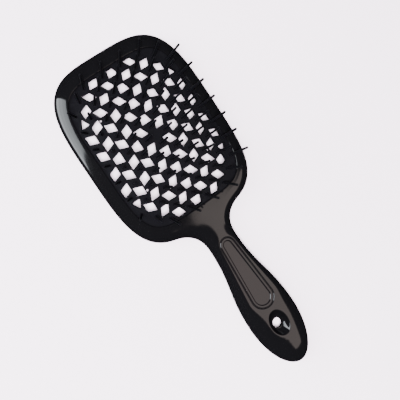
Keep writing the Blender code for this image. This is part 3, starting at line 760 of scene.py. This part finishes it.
def softened(corners):
    """A polygon with each corner turned by a short quadratic curve."""
    before = np.roll(corners, 1, axis=0) - corners
    after = np.roll(corners, -1, axis=0) - corners
    start = corners + before / np.linalg.norm(before, axis=1)[:, None] * CORNER_CUT
    end = corners + after / np.linalg.norm(after, axis=1)[:, None] * CORNER_CUT
    start, corner, end = start[:, None], corners[:, None], end[:, None]
    t = np.linspace(0, 1, CORNER_POINTS)[None, :, None]
    curve = (1 - t) ** 2 * start + 2 * t * (1 - t) * corner + t * t * end
    return curve.reshape(-1, 2)


def grid_cells(columns, rows):
    """Every column and row of the vents' grid, numbered from its middle."""
    return product(range(-columns, columns + 1), range(-rows, rows + 1))


def vent_loops():
    """Every opening through the mat, anticlockwise, with its corners softened.

    Vents take every second cell but the middle one. A corner a little past the border of the
    field is drawn in to it, and one that lies further out is left out.
    """
    found = []
    columns, rows = (FIELD_HALF / PITCH).astype(int) + 1
    for column, row in grid_cells(columns, rows):
        centre = np.array([column, row]) * PITCH
        reach = rounded_share(centre[None], FIELD_HALF - VENT_INSET, OPENING_SQUARENESS)[0]
        if (column + row) % 2 or column == row == 0 or reach > 1:
            continue
        mirror = np.array([-1.0 if column < 0 else 1.0, -1.0 if row < 0 else 1.0])
        corners = centre + vent_corners(abs(column), abs(row)) * mirror
        beyond = rounded_share(corners, FIELD_HALF, OPENING_SQUARENESS)
        corners = (corners / np.maximum(beyond, 1)[:, None])[beyond < CORNER_LIMIT]
        found.append(softened(corners if mirror.prod() > 0 else corners[::-1]))
    for side, end in product((-1, 1), (-1, 1)):
        found.append(circle(RELIEF_CELL * PITCH * (side, end), RELIEF_RADIUS, RELIEF_SIDES))
    return found


def pin_feet():
    """Plan position of every pin: one on each closed cell inside the border."""
    columns, rows = (FIELD_HALF / PITCH).astype(int)
    feet = np.array([cell for cell in grid_cells(columns, rows) if sum(cell) % 2]) * PITCH
    return feet[rounded_share(feet, FIELD_HALF - PIN_ROOM, OPENING_SQUARENESS) < 1]


def plan_triangles(loops, hollow):
    """Anticlockwise triangles over the plan inside the first loop and outside the hollow ones.

    Returns the plan's points, the triangles, and where each loop's points ended up.
    """
    points = np.vstack(loops)
    sizes = np.array([len(loop) for loop in loops])
    ends = np.cumsum(sizes)
    after = np.arange(1, len(points) + 1)
    after[ends - 1] -= sizes
    edges = np.column_stack([np.arange(len(points)), after]).tolist()
    found = delaunay_2d_cdt(points.tolist(), edges, [], 0, PLAN_TOLERANCE, True)
    plan, faces, sources = np.array([tuple(p) for p in found[0]]), np.array(found[2]), found[3]
    index = np.empty(len(points), int)
    counts = [len(merged) for merged in sources]
    index[np.fromiter(chain.from_iterable(sources), int)] = np.repeat(np.arange(len(plan)), counts)
    middle = plan[faces].mean(axis=1)
    kept = inside(middle, loops[0])
    for loop in loops[1 : hollow + 1]:
        kept &= ~inside(middle, loop)
    faces = faces[kept]
    a, b, c = (plan[faces[:, i]] for i in range(3))
    turn = (b - a)[:, 0] * (c - a)[:, 1] - (b - a)[:, 1] * (c - a)[:, 0]
    faces[turn < 0] = faces[turn < 0][:, ::-1]
    return plan, faces, np.split(index, ends[:-1])


def walls(rings):
    """Quads between each ring of point numbers and the next.

    They face outwards where anticlockwise rings go up, and inwards where they go down.
    """
    return [quad for ring, after in zip(rings, rings[1:]) for quad in np.column_stack(
        [ring, np.roll(ring, -1), np.roll(after, -1), after]).tolist()]


def vent_rings(loop):
    """Points and directions down one vent's wall, with a quarter round at both edges.

    Each ring is the loop moved out by f (1 - sin a) and down the dome's own direction by
    f (1 - cos a), for a from 0 to a quarter turn, and the same again from below.
    """
    out = right_way(loop)
    wall = np.column_stack([-out, np.zeros(len(loop))])
    steps = [(VENT_FILLET * (1 - math.sin(a)), VENT_FILLET * (1 - math.cos(a)), a)
             for a in quarter_turn(VENT_FILLET_RINGS)]
    steps += [(reach, MAT_THICKNESS - depth, math.pi - a) for reach, depth, a in steps[::-1]]
    rings, directions = [], []
    for reach, depth, a in steps:
        plan = loop + out * reach
        height, up = dome(plan)
        rings.append(np.column_stack([plan, height]) - up * depth)
        directions.append(up * math.cos(a) + wall * math.sin(a))
    return np.array(rings), np.array(directions)


def pin_profile():
    """Height and radius up a pin: flared root, slow taper and a round tip.

    The root's radius falls from the flare as (1 - h)^3, and the tip is a quarter circle.
    """
    root = (1 - PIN_FLARE_HEIGHTS / PIN_FLARE_HEIGHTS[-1]) ** 3
    root_radius = PIN_RADIUS + (PIN_FLARE - PIN_RADIUS) * root
    turn = quarter_turn(PIN_TIP_RINGS + 1)[:-1]
    tip_height = PIN_LENGTH - PIN_TIP_RADIUS * (1 - np.sin(turn))
    height = np.concatenate([PIN_FLARE_HEIGHTS, [PIN_LENGTH / 2], tip_height])
    middle_radius = (PIN_RADIUS + PIN_TIP_RADIUS) / 2
    radius = np.concatenate([root_radius, [middle_radius], PIN_TIP_RADIUS * np.cos(turn)])
    return height, radius


def pin_rings(feet):
    """Points and directions of every pin: its profile turned round the dome's direction."""
    height, up = dome(feet)
    base = np.column_stack([feet, height])
    across = np.cross([0.0, 1.0, 0.0], up)
    across /= np.linalg.norm(across, axis=1)[:, None]
    along = np.cross(up, across)
    level, radius = pin_profile()
    angle = whole_turn(PIN_SIDES)
    radial = np.cos(angle)[:, None] * across[:, None] + np.sin(angle)[:, None] * along[:, None]
    rings = (base[:, None, None] + up[:, None, None] * level[:, None, None]
             + radial[:, None] * radius[:, None, None])
    rise, grow = np.gradient(level), np.gradient(radius)
    size = np.hypot(rise, grow)
    rise, grow = (rise / size)[:, None, None], (grow / size)[:, None, None]
    return rings, radial[:, None] * rise - up[:, None, None] * grow


def pin_mat(material):
    """The vented dome with its pins, one closed moulding with a direction for every point.

    Its top and its underside are triangles in the plan, raised to the dome. Walls join them
    at the border and through the vents, and the pins stand on holes left in the top.
    """
    border = ray_point(MAT_HALF, OPENING_SQUARENESS, whole_turn(BORDER_POINTS))
    crease = border * DOME_HALF / MAT_HALF
    vents = vent_loops()
    feet = pin_feet()
    roots = [circle(foot, PIN_FLARE, PIN_SIDES) for foot in feet]
    wide = [vent + right_way(vent) * VENT_FILLET for vent in vents]
    top_plan, top_faces, top_rings = plan_triangles(
        [border, *wide, *roots, crease], len(vents) + len(roots))
    low_plan, low_faces, low_rings = plan_triangles([border, *wide, crease], len(vents))
    low_faces = low_faces[:, ::-1] + len(top_plan)
    low_rings = [ring + len(top_plan) for ring in low_rings]
    top_height, top_up = dome(top_plan)
    low_height, low_up = dome(low_plan)
    vertices = [np.column_stack([top_plan, top_height]),
                np.column_stack([low_plan, low_height]) - low_up * MAT_THICKNESS]
    directions = [top_up, -low_up]
    faces = top_faces.tolist() + low_faces.tolist() + walls([low_rings[0], top_rings[0]])
    count = len(top_plan) + len(low_plan)
    for vent, top, low in zip(vents, top_rings[1:], low_rings[1:]):
        rings, ways = (grid[1:-1] for grid in vent_rings(vent))
        inner = count + np.arange(rings.shape[0] * rings.shape[1]).reshape(rings.shape[:2])
        faces += walls([top, *inner, low])
        vertices.append(rings.reshape(-1, 3))
        directions.append(ways.reshape(-1, 3))
        count += inner.size
    rings, ways = (grid[:, 1:] for grid in pin_rings(feet))
    inner = count + np.arange(rings.size // 3).reshape(rings.shape[:3])
    for root, pin in zip(top_rings[1 + len(vents):], inner):
        faces += walls([root, *pin])
        faces.append(pin[-1].tolist())
    vertices.append(rings.reshape(-1, 3))
    directions.append(ways.reshape(-1, 3))
    mesh = bpy.data.meshes.new("pin_mat_moulding")
    mesh.from_pydata(place(np.vstack(vertices)).tolist(), [], faces)
    mesh.shade_smooth()
    mesh.normals_split_custom_set_from_vertices(np.vstack(directions).tolist())
    piece("pin_mat_moulding", mesh, material, "pin_mat")


def linear(hex_colour):
    """One sRGB hex colour as linear red, green, blue and alpha."""
    channels = [(hex_colour >> shift & 255) / 255 for shift in (16, 8, 0)]
    return [c / 12.92 if c <= 0.04045 else ((c + 0.055) / 1.055) ** 2.4 for c in channels] + [1.0]


def add(tree, kind, inputs=(), **settings):
    """Add one node with its settings, and set or link its inputs."""
    node = tree.nodes.new(kind)
    for name, value in settings.items():
        setattr(node, name, value)
    for name, value in dict(inputs).items():
        if isinstance(value, bpy.types.NodeSocket):
            tree.links.new(value, node.inputs[name])
        else:
            node.inputs[name].default_value = value
    return node


def per_metre(size):
    """The scale of a pattern on Object coordinates for its size in millimetres."""
    return 1000 / size


def moulded(name, colour, specular, roughness, roughness_spread, wave, wave_height,
            grain, grain_height):
    """A moulded plastic: its roughness drifts, and its surface waves and has a fine grain."""
    material = bpy.data.materials.new(name)
    material.use_nodes = True
    tree = material.node_tree
    shader = tree.nodes["Principled BSDF"]
    shader.inputs["Base Color"].default_value = linear(colour)
    shader.inputs["IOR"].default_value = PLASTIC_IOR
    shader.inputs["Specular IOR Level"].default_value = specular
    place_on = add(tree, "ShaderNodeTexCoord").outputs["Object"]
    drift = add(tree, "ShaderNodeTexNoise", {
        "Vector": place_on, "Scale": per_metre(ROUGHNESS_PATCH), "Detail": 5.0})
    low, high = NOISE_RANGE
    rough = add(tree, "ShaderNodeMapRange", {
        "Value": drift.outputs["Fac"], "From Min": low, "From Max": high,
        "To Min": roughness - roughness_spread, "To Max": roughness + roughness_spread})
    tree.links.new(rough.outputs["Result"], shader.inputs["Roughness"])
    slow = add(tree, "ShaderNodeTexNoise", {
        "Vector": place_on, "Scale": per_metre(wave), "Detail": 1.0})
    fine = add(tree, "ShaderNodeTexNoise", {
        "Vector": place_on, "Scale": per_metre(grain), "Detail": 2.0})
    waves = add(tree, "ShaderNodeBump", {
        "Height": slow.outputs["Fac"], "Distance": wave_height / 1000, "Strength": 1.0})
    grained = add(tree, "ShaderNodeBump", {
        "Height": fine.outputs["Fac"], "Distance": grain_height / 1000, "Strength": 1.0,
        "Normal": waves.outputs["Normal"]})
    tree.links.new(grained.outputs["Normal"], shader.inputs["Normal"])
    return material


def pale_card():
    """Matt white card for the floor, with a faint mottle."""
    material = bpy.data.materials.new("matt_white_card")
    material.use_nodes = True
    tree = material.node_tree
    shader = tree.nodes["Principled BSDF"]
    place_on = add(tree, "ShaderNodeTexCoord").outputs["Object"]
    mottle = add(tree, "ShaderNodeTexNoise", {
        "Vector": place_on, "Scale": per_metre(FLOOR_MOTTLE), "Detail": 3.0})
    colour = add(tree, "ShaderNodeMix", {"Factor": mottle.outputs["Fac"]}, data_type="RGBA")
    colour.inputs["A"].default_value = linear(FLOOR_COLOUR)
    colour.inputs["B"].default_value = linear(FLOOR_MOTTLE_COLOUR)
    tree.links.new(colour.outputs["Result"], shader.inputs["Base Color"])
    shader.inputs["Roughness"].default_value = FLOOR_ROUGHNESS
    return material


def floor():
    """A level table top of card, far wider than the comb.

    It is kept out of the gloss, because the real comb's sides are black down to the table.
    """
    half = FLOOR_SIZE / 2
    corners = [(-half, -half, 0), (half, -half, 0), (half, half, 0), (-half, half, 0)]
    mesh = bpy.data.meshes.new("card_floor")
    mesh.from_pydata(corners, [], [(0, 1, 2, 3)])
    mesh.materials.append(pale_card())
    obj = bpy.data.objects.new("card_floor", mesh)
    bpy.context.scene.collection.objects.link(obj)
    obj.visible_glossy = False


def room():
    """Dim surroundings of one colour."""
    world = bpy.data.worlds.new("studio")
    bpy.context.scene.world = world
    world.use_nodes = True
    background = world.node_tree.nodes["Background"]
    background.inputs["Color"].default_value = linear(ROOM_COLOUR)
    background.inputs["Strength"].default_value = ROOM_STRENGTH


def soft_box(name, middle, aim, width, height, spin, colour, radiance):
    """A rectangular light of one even radiance, at a place in metres and aimed at another."""
    light = bpy.data.lights.new(name, "AREA")
    light.shape = "RECTANGLE"
    light.size, light.size_y = width, height
    light.color = linear(colour)[:3]
    light.energy = radiance * width * height * math.pi
    way = Vector(middle) - Vector(aim)
    obj = bpy.data.objects.new(name, light)
    obj.location = middle
    turn = way.to_track_quat("Z", "Y") @ Quaternion((0, 0, 1), math.radians(spin))
    obj.rotation_euler = turn.to_euler()
    bpy.context.scene.collection.objects.link(obj)
    return obj


def window():
    """A tall window beside the head, in panes that dim upwards and lean along its width."""
    azimuth = math.radians(WINDOW_AZIMUTH)
    way = Vector((math.cos(azimuth), math.sin(azimuth), 0)) * WINDOW_DISTANCE
    across = Vector((-math.sin(azimuth), math.cos(azimuth), 0))
    lean = math.tan(math.radians(WINDOW_LEAN))
    for low, high, radiance in WINDOW_PANES:
        middle = (low + high) / 2
        aim = Vector((0, 0, middle)) - across * lean * (middle - WINDOW_LEVEL)
        length = (high - low) * math.hypot(1, lean)
        soft_box("window_pane", aim + way, aim, WINDOW_WIDTH, length, WINDOW_LEAN,
                 WINDOW_COLOUR, radiance)


def ceiling():
    """A level light above the handle that narrows to a tip, as strips of one radiance."""
    x, y, height = CEILING_PLACE
    turn = math.radians(CEILING_TURN)
    places, right_edge, left_edge = CEILING_CORNERS.T
    for start, end in zip(CEILING_STRIPS, CEILING_STRIPS[1:]):
        along = (start + end) / 2
        right, left = (np.interp(along, places, edge) for edge in (right_edge, left_edge))
        aside = (left + right) / 2
        spot = (x + along * math.cos(turn) - aside * math.sin(turn),
                y + along * math.sin(turn) + aside * math.cos(turn))
        soft_box("ceiling_light", (*spot, height), (*spot, 0), start - end, left - right,
                 CEILING_TURN, CEILING_COLOUR, CEILING_RADIANCE)


def key():
    """The key lights the card without a reflection of its own on the gloss."""
    light = soft_box("key_light", KEY_PLACE, (0, 0, 0), *KEY_SIZE, 0, KEY_COLOUR, KEY_RADIANCE)
    light.visible_glossy = False


def studio():
    """The plain studio round the comb."""
    room()
    window()
    ceiling()
    key()
    floor()


def camera():
    """The camera at the photograph's viewing angle, aimed at a place on the table."""
    data = bpy.data.cameras.new("camera")
    data.lens = CAMERA_LENS
    data.sensor_width = CAMERA_SENSOR
    data.clip_start, data.clip_end = CAMERA_CLIP
    obj = bpy.data.objects.new("camera", data)
    bpy.context.scene.collection.objects.link(obj)
    azimuth, elevation = math.radians(CAMERA_AZIMUTH), math.radians(CAMERA_ELEVATION)
    way = Vector((-math.cos(azimuth) * math.cos(elevation),
                  -math.sin(azimuth) * math.cos(elevation), math.sin(elevation)))
    roll = Quaternion((0, 0, 1), math.radians(CAMERA_ROLL))
    obj.rotation_euler = (way.to_track_quat("Z", "Y") @ roll).to_euler()
    obj.location = Vector(CAMERA_AIM) + way * CAMERA_DISTANCE
    bpy.context.scene.camera = obj


def main():
    """The camera, the two finishes, the comb's three pieces and the studio."""
    camera()
    gloss = moulded("injection_moulded_gloss_black_abs", **SHELL_FINISH)
    nylon = moulded("moulded_black_nylon", **MAT_FINISH)
    shell("front_shell_skin", front_surface, 1, POCKET_HALF, LIP_UNDERSIDE, gloss, "front_shell")
    shell("back_shell_skin", back_surface, -1, MAT_HALF, SEAT, gloss, "back_shell")
    pin_mat(nylon)
    studio()
    bpy.context.view_layer.update()


main()
